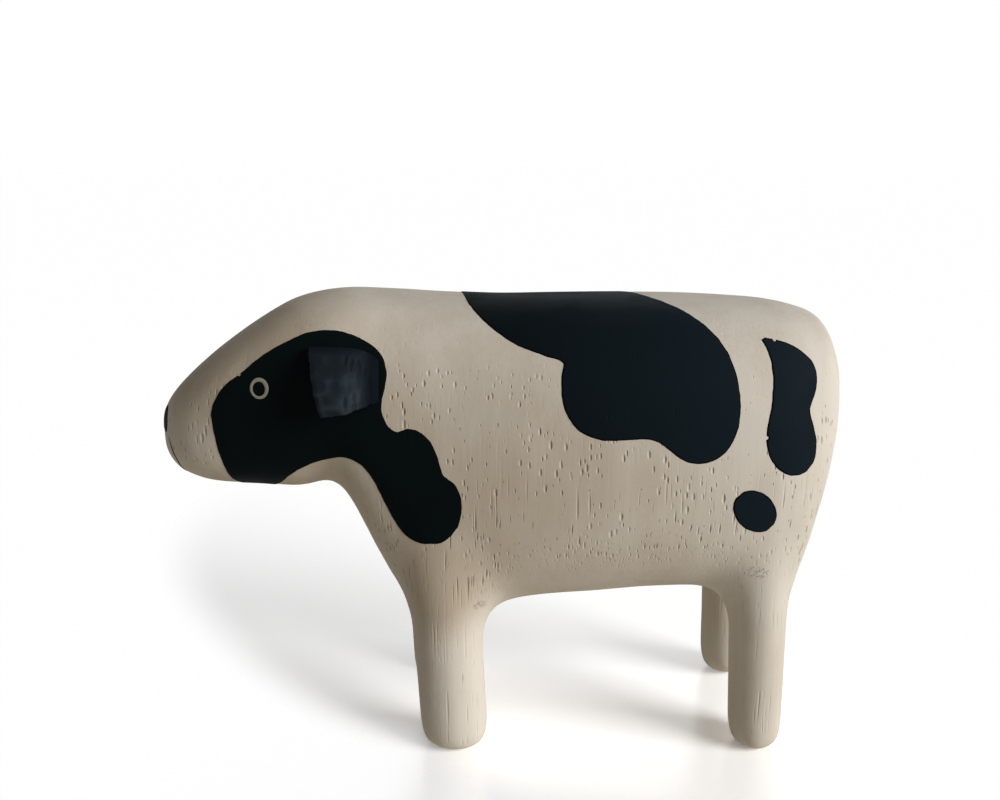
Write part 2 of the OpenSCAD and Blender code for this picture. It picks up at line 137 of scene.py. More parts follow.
class CowWood(bpy.types.PropertyGroup):
    whitewash: colour("Whitewash", "Colour where the whitewash covers the wood",
                      (0.66, 0.605, 0.525))
    # The bare wood colour is also what the painted shade over the forebody, the brow and the
    # fore leg blends toward.
    bare: colour("Bare Wood", "Colour where the whitewash has worn thin", (0.48, 0.40, 0.305))
    pore: colour("Pore", "Colour inside the open pores", (0.22, 0.155, 0.10))
    pore_width: length("Pore Width", "Width of an open pore", 0.44 * MM)
    pore_length: length("Pore Length", "Length of a short pore along the grain", 1.25 * MM)
    streak_length: length("Streak Length", "Length of a long vessel line along the grain",
                          8.0 * MM)
    stance: length("Stance", "How far the right fore foot stands ahead of the left one",
                   1.0 * MM)
    lump: length("Unevenness", "How far the sanded surface strays from its true shape",
                 0.05 * MM)
    fairing: IntProperty(name="Fairing", default=8, min=0, max=40,
                         description="Rounds that even out the facets of the block")
    peg: colour("Peg Wood", "Colour of the turned pegs inside the ears", (0.52, 0.37, 0.22))


class CowPaint(bpy.types.PropertyGroup):
    # Painted light and shade: black is the paint as the shaded face shows it, lit_black as the
    # lit rump shows it, and the patches blend from one to the other along the body.
    black: colour("Black", "Colour of the black patch on the face",
                  (0.0022, 0.0042, 0.0042))
    lit_black: colour("Lit Black", "Colour of the black patches on the rump",
                  (0.0076, 0.0130, 0.0178))
    rim: colour("Rim", "Colour of the brush line along the rim of a patch",
                (0.0020, 0.0022, 0.0026))
    ring: colour("Eye Ring", "Colour of the ring round each eye", (0.34, 0.32, 0.25))
    thickness: length("Thickness", "Thickness of a coat of paint", 0.09 * MM)
    sink: length("Soak", "How far a coat soaks into the wood", 0.03 * MM)
    rounding: length("Rim Rounding", "Width over which a coat rises from its rim", 0.22 * MM)
    wobble: length("Wobble", "How far the brush strayed from the outline", 0.07 * MM)
    spread: length("Spread", "How far the paint ran out beyond the outline", 0.10 * MM)
    mouth_width: length("Mouth Width", "Width of the painted mouth line", 0.42 * MM)


class CowEars(bpy.types.PropertyGroup):
    black: colour("Ear Black", "Colour of the painted ears", (0.0118, 0.0160, 0.0208))
    # Painted shade: ear_shade darkens the rear and the top of the ears.
    ear_shade: colour("Ear Shade", "Colour of the rear and the top of the ears",
                 (0.0042, 0.0064, 0.0100))
    # scuffed_and_lit is the paler black of the knife's ridges and of the ear's lower front,
    # where light is painted.
    scuffed_and_lit: colour("Scuffed And Lit Black", "Colour where the knife's ridges show through",
                    (0.047, 0.062, 0.075))
    voxel: length("Grid", "Grid over which the ear is carved", 0.16 * MM)
    depth: length("Cut Depth", "Depth of a knife cut", 0.30 * MM)
    seed: IntProperty(name="Seed", default=7,
                      description="Seed of the places of the knife cuts")


class CowStage(bpy.types.PropertyGroup):
    floor: colour("Floor", "Colour of the floor", (0.80, 0.745, 0.64))
    shadow: FloatProperty(name="Shadow", description="How strongly the camera sees the shadow",
                          default=1.8, min=0.0, max=2.0)
    gloss: share("Gloss", "How much of the floor is a blurred mirror", 0.30)
    sky: share("Sky", "Strength of the light from all round", 0.115)
    key: FloatProperty(name="Key", default=3.2,
                       description="Strength of the light from the window")
    softness: FloatProperty(name="Softness", default=math.radians(32), subtype="ANGLE",
                            description="How wide the window looks from the cow")


# Meshes


def across(x):
    """Height of the straight line inside the trunk that angles are measured from."""
    return TRUNK_HEIGHT + TRUNK_SLOPE * x


def angles(points):
    """Angle of each point from the top of the back, counting up toward the left side."""
    return np.arctan2(-points[:, 1], points[:, 2] - across(points[:, 0]))


def new_object(name, mesh, material):
    """An object of that mesh in the scene, all of one material."""
    piece = bpy.data.objects.new(name, mesh)
    bpy.context.scene.collection.objects.link(piece)
    piece.data.materials.clear()
    piece.data.materials.append(material)
    return piece


def made(name, points, faces, material, **values):
    """A smooth mesh object from arrays, with one number at each point for each value."""
    mesh = bpy.data.meshes.new(name)
    mesh.from_pydata([tuple(p) for p in points], [], faces)
    for key, numbers in values.items():
        mesh.attributes.new(key, "FLOAT", "POINT").data.foreach_set(
            "value", np.asarray(numbers, np.float32))
    mesh.shade_smooth()
    return new_object(name, mesh, material)


def arrays(mesh):
    """Points, point normals and edges of a mesh."""
    points = np.empty(len(mesh.vertices) * 3)
    normals = np.empty(len(mesh.vertices) * 3, np.float32)
    edges = np.empty(len(mesh.edges) * 2, int)
    mesh.vertices.foreach_get("co", points)
    mesh.vertex_normals.foreach_get("vector", normals)
    mesh.edges.foreach_get("vertices", edges)
    return (points.reshape(-1, 3), normals.reshape(-1, 3).astype(float),
            edges.reshape(-1, 2))


def applied(piece):
    """The piece's mesh with its modifiers applied and removed."""
    graph = bpy.context.evaluated_depsgraph_get()
    mesh = bpy.data.meshes.new_from_object(piece.evaluated_get(graph))
    old = piece.data
    piece.modifiers.clear()
    piece.data = mesh
    bpy.data.meshes.remove(old)
    return mesh


def merged(node):
    """A copy of a CAD node's mesh with its loose triangles joined up."""
    work = bmesh.new()
    work.from_mesh(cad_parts[node].data)
    bmesh.ops.remove_doubles(work, verts=work.verts, dist=1e-6)
    return work


def rides(piece, node):
    """Fastens a piece to the body, in the place and the finish of a CAD node."""
    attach(piece, "root")
    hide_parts(node)


def peg_axis(side):
    """X and Z of an ear peg's axis, and the peg's radius."""
    low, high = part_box("ear_peg_" + side)
    return (low.x + high.x) / 2, (low.z + high.z) / 2, (high.x - low.x) / 2


def faired(points, edges, rounds):
    """Evens out ripples shorter than a few edges without drawing the shape in."""
    a, b = edges.T
    near = np.bincount(np.r_[a, b], minlength=len(points))[:, None]
    for step in (FAIR_IN, FAIR_OUT) * rounds:
        total = np.stack([np.bincount(a, points[b, i], len(points))
                          + np.bincount(b, points[a, i], len(points)) for i in range(3)], 1)
        points = points + (total / near - points) * step
    return points


def uneven(points, waves):
    """A random number at each point that changes smoothly from place to place."""
    return np.array([sum(part * noise.noise(Vector(p) * often) for often, part in waves)
                     for p in points])


def in_right_fore_leg(points):
    """How far each point is down the right fore leg, and 0 elsewhere."""
    down = np.clip((LEG_TOP - points[:, 2]) / LEG_BEND, 0, 1)
    fore = (points[:, 0] < FORE_END) & (points[:, 1] > INNER_SIDE)
    return np.where(fore, down * down * (3 - 2 * down), 0)


def smooth_block(settings, material):
    """The carved block with its facets smoothed away and its peg holes left closed."""
    work = merged("carved_block")
    for side, hand in HANDS.items():
        x, z, radius = peg_axis(side)
        hole = [v for v in work.verts if v.co.y * hand > 0
                and math.hypot(v.co.x - x, v.co.z - z) < radius * 1.3]
        bmesh.ops.delete(work, geom=hole, context="VERTS")
    bmesh.ops.holes_fill(work, edges=[e for e in work.edges if e.is_boundary], sides=0)
    bmesh.ops.join_triangles(work, faces=work.faces, angle_face_threshold=0.7,
                             angle_shape_threshold=0.9)
    mesh = bpy.data.meshes.new("block_wood")
    work.to_mesh(mesh)
    work.free()
    block = new_object("block_wood", mesh, material)
    rounder = block.modifiers.new("Rounder", "SUBSURF")
    rounder.levels = rounder.render_levels = 2
    mesh = applied(block)
    points, normals, edges = arrays(mesh)
    points = faired(points, edges, settings.fairing)
    points += normals * (uneven(points, SANDED) * settings.lump)[:, None]
    points[:, 0] -= in_right_fore_leg(points) * settings.stance
    points[:, 2] = np.maximum(points[:, 2], 0)
    mesh.vertices.foreach_set("co", points.ravel())
    mesh.shade_smooth()
    mesh.update()
    return block


def rim_loops(node, skin):
    """The loops along which the outer face of a CAD coat meets its edge, longest first."""
    work = merged(node)
    outer = {f for f in work.faces
             if f.normal.dot(skin.find_nearest(f.calc_center_median())[1]) > OUTER_FACE}
    steps = {}
    for edge in work.edges:
        if len(edge.link_faces) == 2 and len(outer.intersection(edge.link_faces)) == 1:
            a, b = edge.verts
            steps.setdefault(a, []).append(b)
            steps.setdefault(b, []).append(a)
    loops = []
    while steps:
        start = here = next(iter(steps))
        loop = []
        while here in steps:
            loop.append(here.co.copy())
            ways = steps.pop(here)
            here = next((v for v in ways if v in steps), start)
        loops.append(without_spikes(loop))
    work.free()
    return sorted(loops, key=lambda p: -np.linalg.norm(p - np.roll(p, 1, 0), axis=1).sum())


def without_spikes(loop):
    """The loop less the points at which it turns back on itself."""
    i = 0
    while i < len(loop):
        into, out = loop[i] - loop[i - 1], loop[(i + 1) % len(loop)] - loop[i]
        if into.dot(out) < SPIKE * into.length * out.length:
            loop.pop(i)
            i = max(i - 1, 0)
        else:
            i += 1
    return np.array(loop)


def smooth_loop(points, spacing):
    """A curve through the points of a closed loop that keeps its sharp corners."""
    ahead, behind = np.roll(points, -1, 0), np.roll(points, 1, 0)
    into, out = points - behind, ahead - points
    bend = (into * out).sum(1) / np.linalg.norm(into, axis=1) / np.linalg.norm(out, axis=1)
    soft = (bend > CORNER)[:, None]
    leave = np.where(soft, (into + out) / 2, out)
    arrive = np.where(soft, (into + out) / 2, into)
    curve = []
    for i, p in enumerate(points):
        j = (i + 1) % len(points)
        count = max(1, math.ceil(np.linalg.norm(out[i]) / spacing))
        for f in np.arange(count) / count:
            curve.append((2 * f**3 - 3 * f**2 + 1) * p + (f**3 - 2 * f**2 + f) * leave[i]
                         + (3 * f**2 - 2 * f**3) * points[j] + (f**3 - f**2) * arrive[j])
    return np.array(curve)


def on_skin(points, skin):
    """The place on the skin that lies nearest to each point."""
    return np.array([skin.find_nearest(Vector(p))[0] for p in points])


def inside(loop, points):
    """Whether each point lies inside a loop, both seen as places along and round the trunk."""
    ax, ay = loop[:, 0], angles(loop)
    bx, by = np.roll(ax, -1), np.roll(ay, -1)
    found = np.zeros(len(points), bool)
    for part in np.array_split(np.arange(len(points)), len(points) // 4000 + 1):
        px, py = points[part, 0][:, None], angles(points[part])[:, None]
        crossing = (ay > py) != (by > py)
        with np.errstate(divide="ignore", invalid="ignore"):
            at = ax + (py - ay) / (by - ay) * (bx - ax)
        found[part] = (crossing & (px < at)).sum(1) % 2 == 1
    return found


def outside_by(points, loop):
    """Distance of each point from a loop on the skin, negative inside it."""
    tree = KDTree(len(loop))
    for i, p in enumerate(loop):
        tree.insert(p, i)
    tree.balance()
    gap = np.array([tree.find(p)[2] for p in points])
    return np.where(inside(loop, points), -gap, gap)


def patch_of_skin(low, high):
    """The block's faces in a box, cut twice as fine: points and triangles."""
    work = bmesh.new()
    work.from_mesh(bpy.data.objects["block_wood"].data)
    far = [v for v in work.verts
           if any(v.co[i] < low[i] - MM or v.co[i] > high[i] + MM for i in range(3))]
    bmesh.ops.delete(work, geom=far, context="VERTS")
    bmesh.ops.subdivide_edges(work, edges=work.edges, cuts=1, use_grid_fill=True)
    bmesh.ops.triangulate(work, faces=work.faces)
    work.verts.ensure_lookup_table()
    points = np.array([v.co for v in work.verts])
    faces = np.array([[v.index for v in f.verts] for f in work.faces])
    work.free()
    return points, faces


def clipped(points, faces, gap):
    """Cuts triangles along the line where gap is zero and keeps the negative side.
    A new point is two old ones and a share between them."""
    used, cuts = {}, []

    def name(i, j=None, f=0.0):
        key = (i, i) if j is None else (min(i, j), max(i, j))
        if key not in used:
            used[key] = len(cuts)
            cuts.append((i, i if j is None else j, f))
        return used[key]

    kept = []
    for face in faces[(gap[faces] < 0).any(1)]:
        corners = []
        for i, j in zip(face, np.roll(face, -1)):
            if gap[i] < 0:
                corners.append(name(i))
            if (gap[i] < 0) != (gap[j] < 0):
                corners.append(name(i, j, gap[i] / (gap[i] - gap[j])))
        kept.append(corners)
    return kept, cuts


def shell_faces(faces, count):
    """Faces of a thin shell: those given, the same ones underneath, and the walls
    between them. The points underneath follow the count points above."""
    steps = {(a, b) for corners in faces for a, b in zip(corners, corners[1:] + corners[:1])}
    walls = [(b, a, a + count, b + count) for a, b in steps if (b, a) not in steps]
    soles = [[c + count for c in reversed(corners)] for corners in faces]
    return faces + soles + walls


def coat(name, node, skin, settings):
    """A coat of black paint on the block, inside the outline of the CAD node."""
    margin = np.array((0, 4 * MM, 4 * MM))
    drawn = smooth_loop(on_skin(rim_loops(node, skin)[0], skin), 0.06 * MM)
    outline = on_skin(drawn, skin)
    points, faces = patch_of_skin(outline.min(0) - margin, outline.max(0) + margin)
    gap = outside_by(points, outline) - settings.spread
    near = np.abs(gap) < 2 * MM
    gap[near] += settings.wobble * uneven(points[near], HAND_DRAWN)
    for place, radius in NICKS.get(node, ()):
        away = np.linalg.norm(outline - np.array(place) * MM, axis=1)
        nick = outline[away.argmin()]
        gap = np.maximum(gap, radius - np.linalg.norm(points - nick, axis=1))
    if node.startswith("face"):
        x, z, radius = peg_axis(node.rsplit("_", 1)[1])
        away = np.hypot(points[:, 0] - x, points[:, 2] - z)
        gap = np.maximum(gap, radius + PAINT_ROOM - away)
    kept, cuts = clipped(points, faces, gap)
    i, j = np.array([c[0] for c in cuts]), np.array([c[1] for c in cuts])
    f = np.array([c[2] for c in cuts])[:, None]
    base = points[i] * (1 - f) + points[j] * f
    depth = np.maximum(-(gap[i] * (1 - f[:, 0]) + gap[j] * f[:, 0]), 0)
    up = np.array([skin.find_nearest(Vector(p))[1] for p in base])
    rise = np.minimum(depth / settings.rounding, 1)
    height = settings.thickness * np.sqrt(1 - (1 - rise) ** 2)
    top = base + up * height[:, None]
    under = base - up * settings.sink
    piece = made(name, np.concatenate([top, under]), shell_faces(kept, len(base)),
                 finish_of("Black Paint"), rim=np.tile(np.minimum(depth / MM, 1), 2))
    rides(piece, node)


# Node trees


def put(tree, kind, inputs=None, **settings):
    """Adds a node. A socket among the inputs is linked, and anything else is a value."""
    node = tree.nodes.new(kind)
    for key, value in settings.items():
        setattr(node, key, value)
    for key, value in (inputs or {}).items():
        if isinstance(value, bpy.types.NodeSocket):
            tree.links.new(value, node.inputs[key])
        else:
            node.inputs[key].default_value = value
    return node


def calc(tree, operation, a, b=0.0, clamp=False):
    """The result of a Math node."""
    return put(tree, "ShaderNodeMath", {0: a, 1: b}, operation=operation,
               use_clamp=clamp).outputs[0]


def ramp(tree, value, low, high, to_low=0.0, to_high=1.0):
    """A smooth step of value from low to high."""
    return put(tree, "ShaderNodeMapRange", {0: value, 1: low, 2: high, 3: to_low, 4: to_high},
               interpolation_type="SMOOTHSTEP").outputs[0]


def times(tree, a, b):
    return calc(tree, "MULTIPLY", a, b)


def mixed(tree, factor, a, b):
    """Colour a, or b where the factor is 1."""
    return put(tree, "ShaderNodeMix", {0: factor, 6: a, 7: b}, data_type="RGBA").outputs[2]


def object_place(tree):
    return put(tree, "ShaderNodeTexCoord").outputs["Object"]


def apart(tree, vector):
    """The X, Y and Z of a vector."""
    return put(tree, "ShaderNodeSeparateXYZ", {0: vector}).outputs


def vector_sum(tree, a, b):
    return put(tree, "ShaderNodeVectorMath", {0: a, 1: b}).outputs[0]


def scaled(tree, vector, scale):
    return put(tree, "ShaderNodeVectorMath", {0: vector, "Scale": scale},
               operation="SCALE").outputs[0]


def grained(tree, along):
    """Object coordinates that are drawn out along the grain, which runs up and down."""
    return put(tree, "ShaderNodeMapping", {
        "Vector": object_place(tree), "Scale": (1, 1, along)}).outputs[0]


def distance_from(tree, place, centre, radii, turn=0.0):
    """How far a place lies from a centre, where 1 is the rim of the ellipse of those radii."""
    inner = put(tree, "ShaderNodeMapping", {
        "Vector": place, "Location": centre, "Rotation": (0, 0, turn), "Scale": radii},
        vector_type="TEXTURE").outputs[0]
    return put(tree, "ShaderNodeVectorMath", {0: inner}, operation="LENGTH").outputs["Value"]


def cloud(tree, vector, scale, detail=2.0, roughness=0.5):
    """A smooth random value from 0 to 1."""
    return put(tree, "ShaderNodeTexNoise", {
        "Vector": vector, "Scale": scale, "Detail": detail,
        "Roughness": roughness}).outputs["Fac"]


def drawn_cloud(tree, along, scale, detail, roughness):
    """A cloud that is drawn out along the grain."""
    return cloud(tree, grained(tree, along), scale, detail, roughness)


def group(name, kind, inputs, outputs):
    """A node group with its sockets, and its two ends."""
    tree = bpy.data.node_groups.new(name, kind)
    for direction, sockets in (("INPUT", inputs), ("OUTPUT", outputs)):
        for title, value in sockets.items():
            socket = tree.interface.new_socket(
                name=title, in_out=direction, socket_type="NodeSocket" + value[0])
            if len(value) > 1:
                socket.default_value = value[1]
    ends = tree.nodes.new("NodeGroupInput"), tree.nodes.new("NodeGroupOutput")
    return tree, ends[0].outputs, ends[1].inputs


def place_group(tree, name, **inputs):
    """Places a node group in a material, with its own values, and gives its outputs."""
    node = tree.nodes.new("ShaderNodeGroup")
    node.node_tree = bpy.data.node_groups[name]
    for key, value in inputs.items():
        key = key.replace("_", " ").title()
        if isinstance(value, bpy.types.NodeSocket):
            tree.links.new(value, node.inputs[key])
        else:
            node.inputs[key].default_value = value
    return node.outputs


def make_pores():
    """Open pores of the wood: slim hollows along the grain, scattered through the block."""
    tree, given, out = group(
        "Open Pores", "ShaderNodeTree",
        {"Width": ("Float", 0.3 * MM), "Length": ("Float", 1.5 * MM),
         "Spacing": ("Float", 1.0 * MM), "Offset": ("Float", 0.0), "Sway": ("Float", 0.0)},
        {"Pore": ("Float",)})
    place = object_place(tree)
    drift = put(tree, "ShaderNodeTexNoise", {"Vector": place, "Scale": 120.0, "Detail": 1.0})
    drift = vector_sum(tree, drift.outputs["Color"], (-0.5, -0.5, -0.5))
    place = vector_sum(tree, place, scaled(tree, drift, given["Sway"]))
    place = vector_sum(tree, place, given["Offset"])
    wide = calc(tree, "DIVIDE", 1.0, given["Spacing"])
    tall = calc(tree, "DIVIDE", times(tree, wide, given["Width"]), given["Length"])
    scale = put(tree, "ShaderNodeCombineXYZ", {0: wide, 1: wide, 2: tall}).outputs[0]
    stretched = put(tree, "ShaderNodeVectorMath", {0: place, 1: scale}, operation="MULTIPLY")
    cells = put(tree, "ShaderNodeTexVoronoi", {
        "Vector": stretched.outputs[0], "Scale": 1.0}).outputs
    luck = put(tree, "ShaderNodeSeparateColor", {0: cells["Color"]}).outputs[0]
    luck = times(tree, ramp(tree, luck, 0.0, 1.0, 0.35, 0.75),
                 ramp(tree, cloud(tree, place, 130.0, 1.0), 0.38, 0.56, 0.35, 1.0))
    radius = times(tree, times(tree, given["Width"], wide), luck)
    gap = calc(tree, "DIVIDE", cells["Distance"], radius)
    tree.links.new(ramp(tree, gap, 0.1, 1.0, 1.0, 0.0), out["Pore"])


def make_grain():
    """Whitewash of uneven cover over straight fibres, thinned further by the Wear And Shade
    input.
    """
    tree, given, out = group(
        "Straight Grain", "ShaderNodeTree",
        {"Cover": ("Color",), "Wood": ("Color",), "Wear": ("Float", 0.2)},
        {"Color": ("Color",), "Height": ("Float",)})
    fibres = drawn_cloud(tree, *FIBRES)
    grit = cloud(tree, object_place(tree), 3200.0)
    worn = calc(tree, "ADD", times(tree, drawn_cloud(tree, *BANDS), 0.35),
                times(tree, drawn_cloud(tree, *BLOTCHES), 0.65))
    fine = calc(tree, "SUBTRACT", calc(tree, "ADD", fibres, grit), 1.0)
    worn = calc(tree, "ADD", worn, times(tree, fine, 0.14))
    worn = times(tree, ramp(tree, worn, 0.34, 0.68), 0.5)
    # The Wear And Shade input thins the cover further: the whitewashed wood feeds its painted
    # shade through it, and the pegs an even wear.
    worn = calc(tree, "ADD", worn, given["Wear"], clamp=True)
    tree.links.new(mixed(tree, worn, given["Cover"], given["Wood"]), out["Color"])
    tree.links.new(fibres, out["Height"])


def make_tool_marks():
    """Short torn cuts around a place on both sides, where a knife turned."""
    tree, given, out = group(
        "Tool Marks", "ShaderNodeTree",
        {"Along": ("Float",), "Height": ("Float",), "Reach": ("Float", 2.0 * MM)},
        {"Mark": ("Float",)})
    place = object_place(tree)
    x, y, z = apart(tree, place)[:3]
    x = calc(tree, "SUBTRACT", x, given["Along"])
    z = times(tree, calc(tree, "SUBTRACT", z, given["Height"]), 1.8)
    far = calc(tree, "SQRT", calc(tree, "ADD", times(tree, x, x), times(tree, z, z)))
    far = calc(tree, "DIVIDE", far, given["Reach"])
    near = times(tree, ramp(tree, far, 0.55, 1.15, 1.0, 0.0),
                 ramp(tree, calc(tree, "ABSOLUTE", y), 11 * MM, 13 * MM))
    torn = put(tree, "ShaderNodeTexNoise", {
        "Vector": place, "Scale": 900.0, "Detail": 2.0, "Distortion": 1.0}).outputs["Fac"]
    torn = calc(tree, "ABSOLUTE", calc(tree, "SUBTRACT", torn, 0.5))
    tree.links.new(times(tree, near, ramp(tree, torn, 0.01, 0.04, 1.0, 0.0)), out["Mark"])


def make_brushwork():
    """Faint ridges and an uneven cover that a brush leaves in a coat of paint."""
    tree, given, out = group(
        "Brushwork", "ShaderNodeTree", {"Fineness": ("Float", 1.0)},
        {"Ridges": ("Float",), "Cover": ("Float",)})
    place = object_place(tree)
    swept = put(tree, "ShaderNodeMapping", {
        "Vector": place, "Rotation": (0.3, 0.5, 0.0), "Scale": (0.25, 1, 1)}).outputs[0]
    ridges = cloud(tree, swept, times(tree, given["Fineness"], 900.0), 3.0, 0.6)
    tree.links.new(ridges, out["Ridges"])
    tree.links.new(ramp(tree, cloud(tree, place, 110.0, 4.0, 0.6), 0.35, 0.7), out["Cover"])


def new_material(name):
    """A material, its tree, and the inputs of its shader."""
    material = bpy.data.materials.new(name)
    material.use_nodes = True
    tree = material.node_tree
    return material, tree, tree.nodes["Principled BSDF"].inputs


def finish(tree, shader, colour_of, height, depth, roughness):
    """Joins up a finish: its colour, its relief and how deep that is, and its roughness,
    which is one number, or a value that changes and the numbers it runs between."""
    tree.links.new(colour_of, shader["Base Color"])
    relief = put(tree, "ShaderNodeBump", {"Strength": 1.0, "Distance": depth, "Height": height})
    tree.links.new(relief.outputs[0], shader["Normal"])
    if isinstance(roughness, float):
        shader["Roughness"].default_value = roughness
    else:
        value, low, high = roughness
        tree.links.new(ramp(tree, value, 0.0, 1.0, low, high), shader["Roughness"])


def open_pores(tree, place, settings):
    """Short pores on the upper flanks, and long vessel lines on the lower ones."""
    height = apart(tree, place)[2]
    short = place_group(tree, "Open Pores", width=settings.pore_width,
                        length=settings.pore_length, spacing=0.72 * MM, sway=0.3 * MM)[0]
    long = place_group(tree, "Open Pores", width=settings.pore_width * 0.75,
                       length=settings.streak_length, spacing=0.45 * MM, offset=0.037,
                       sway=0.5 * MM)[0]
    short = times(tree, short, ramp(tree, height, 28 * MM, 45 * MM, 0.1, 1.0))
    long = times(tree, long, times(tree, ramp(tree, height, 34 * MM, 47 * MM, 1.0, 0.06),
                                   ramp(tree, height, 23 * MM, 34 * MM, 0.25, 1.0)))
    return short, long


def whitewashed_wood(settings):
    """Pale wood under a thin whitewash worn at random, with its pores open, and with shade
    painted in as thinner whitewash over the forebody, the brow and the top of the fore leg.
    """
    material, tree, shader = new_material("Whitewashed Wood")
    place = object_place(tree)
    # Painted shade: the whitewash is thinner, so the wood darker, over the forebody, the brow
    # and the top of the fore leg, and a little thicker and lighter beyond the forebody.
    wear = ramp(tree, distance_from(tree, place, *PAINTED_SHADE_BODY), 0.3, 1.15, 0.44, -0.10)
    wear = calc(tree, "ADD", wear, calc(
        tree, "MAXIMUM", ramp(tree, distance_from(tree, place, *PAINTED_SHADE_BROW), 0.45, 1.25, 0.75, 0.0),
        ramp(tree, distance_from(tree, place, *PAINTED_SHADE_SHOULDER), 0.2, 1.3, 0.8, 0.0)))
    grain = place_group(tree, "Straight Grain", cover=settings.whitewash,
                        wood=settings.bare, wear=wear)
    facing = put(tree, "ShaderNodeTexCoord").outputs["Normal"]
    upright = ramp(tree, calc(tree, "ABSOLUTE", apart(tree, facing)[2]), 0.12, 0.5, 1.0, 0.1)
    short, long = open_pores(tree, place, settings)
    pores = times(tree, calc(tree, "MAXIMUM", short, long), upright)
    marks = calc(tree, "MAXIMUM", place_group(tree, "Tool Marks", **HIND_CUTS)[0],
                 place_group(tree, "Tool Marks", **FORE_CUTS)[0])
    torn = calc(tree, "MAXIMUM", pores, times(tree, marks, 0.6))
    dark = times(tree, torn, calc(tree, "ADD", times(tree, long, 0.55), 0.12))
    height = calc(tree, "SUBTRACT", times(tree, grain["Height"], 0.10), torn)
    finish(tree, shader, mixed(tree, dark, grain["Color"], settings.pore), height, 0.22 * MM,
           (grain["Height"], 0.72, 0.86))
    shader["Specular IOR Level"].default_value = 0.3
    return material


def black_paint(settings):
    """Matt black paint with light painted in: darker at the shaded face and paler toward the
    lit rump, with a few pores and a darker rim.
    """
    material, tree, shader = new_material("Black Paint")
    brush = place_group(tree, "Brushwork", fineness=1.0)
    pores = place_group(tree, "Open Pores", width=0.26 * MM, length=1.3 * MM,
                        spacing=1.05 * MM, sway=0.3 * MM)[0]
    rim = put(tree, "ShaderNodeAttribute", attribute_name="rim").outputs["Fac"]
    along = apart(tree, object_place(tree))[0]
    # Painted light: the black blends from the face's shaded black to the rump's lit black along
    # the body, a little unevenly.
    lit_black = calc(tree, "ADD", ramp(tree, along, -12 * MM, 42 * MM),
                 times(tree, brush["Cover"], 0.15))
    fill = mixed(tree, lit_black, settings.black, settings.lit_black)
    height = calc(tree, "SUBTRACT", times(tree, brush["Ridges"], 0.35), times(tree, pores, 0.6))
    finish(tree, shader, mixed(tree, ramp(tree, rim, 0.10, 0.34), settings.rim, fill), height,
           0.09 * MM, (brush["Cover"], 0.58, 0.75))
    shader["Specular IOR Level"].default_value = 0.02
    return material


def ear_paint(settings):
    """Black paint on the knife-cut ears, thin on the ridges, with painted light on the lower
    front and painted shade on the rear and the top.
    """
    material, tree, shader = new_material("Ear Paint")
    brush = place_group(tree, "Brushwork", fineness=1.6)
    ridge = put(tree, "ShaderNodeAttribute", attribute_name="ridge").outputs["Fac"]
    x, _, z = apart(tree, object_place(tree))[:3]
    # Painted light: the lower front of each ear is painted paler, as if it faced the light.
    bare = times(tree, ramp(tree, z, 60.8 * MM, 59.2 * MM),
                 ramp(tree, x, -17.6 * MM, -19.8 * MM))
    cover = calc(tree, "ADD", times(tree, ridge, 0.35), times(tree, brush["Cover"], 0.65))
    bare = calc(tree, "MULTIPLY", calc(tree, "ADD", bare, 0.22), cover, clamp=True)
    # Painted shade: the rear and the top of each ear are painted a darker black.
    ear_shade = calc(tree, "MAXIMUM", ramp(tree, x, -19.6 * MM, -17.4 * MM),
                ramp(tree, z, 61.8 * MM, 63.6 * MM, 0.0, 0.9))
    paint = mixed(tree, bare, settings.black, settings.scuffed_and_lit)
    finish(tree, shader, mixed(tree, ear_shade, paint, settings.ear_shade), brush["Ridges"], 0.05 * MM,
           (brush["Cover"], 0.55, 0.75))
    shader["Specular IOR Level"].default_value = 0.01
    return material


def toned(tone, factor):
    """A colour of the settings made paler or darker."""
    return [min(c * factor, 1) for c in tone[:3]] + [1.0]


def ring_paint(settings):
    """Pale paint, a little thin in places."""
    material, tree, shader = new_material("Ring Paint")
    brush = place_group(tree, "Brushwork", fineness=2.0)
    paint = mixed(tree, brush["Cover"], settings.ring, toned(settings.ring, 0.72))
    finish(tree, shader, paint, brush["Ridges"], 0.03 * MM, 0.65)
    return material


def peg_wood(settings):
    """Bare turned wood."""
    material, tree, shader = new_material("Peg Wood")
    grain = place_group(tree, "Straight Grain", cover=toned(settings.peg, 1.35),
                        wood=settings.peg)
    finish(tree, shader, grain["Color"], grain["Height"], 0.03 * MM, 0.7)
    return material


def finish_of(name):
    """The material of that name, made when it is first asked for."""
    scene = bpy.context.scene
    makers = {"Whitewashed Wood": (whitewashed_wood, scene.cow_wood),
              "Black Paint": (black_paint, scene.cow_paint),
              "Ear Paint": (ear_paint, scene.cow_ears),
              "Ring Paint": (ring_paint, scene.cow_paint),
              "Peg Wood": (peg_wood, scene.cow_wood)}
    if "Open Pores" not in bpy.data.node_groups:
        for make in (make_pores, make_grain, make_tool_marks, make_brushwork):
            make()
    found = bpy.data.materials.get(name)
    maker, settings = makers[name]
    return found or maker(settings)


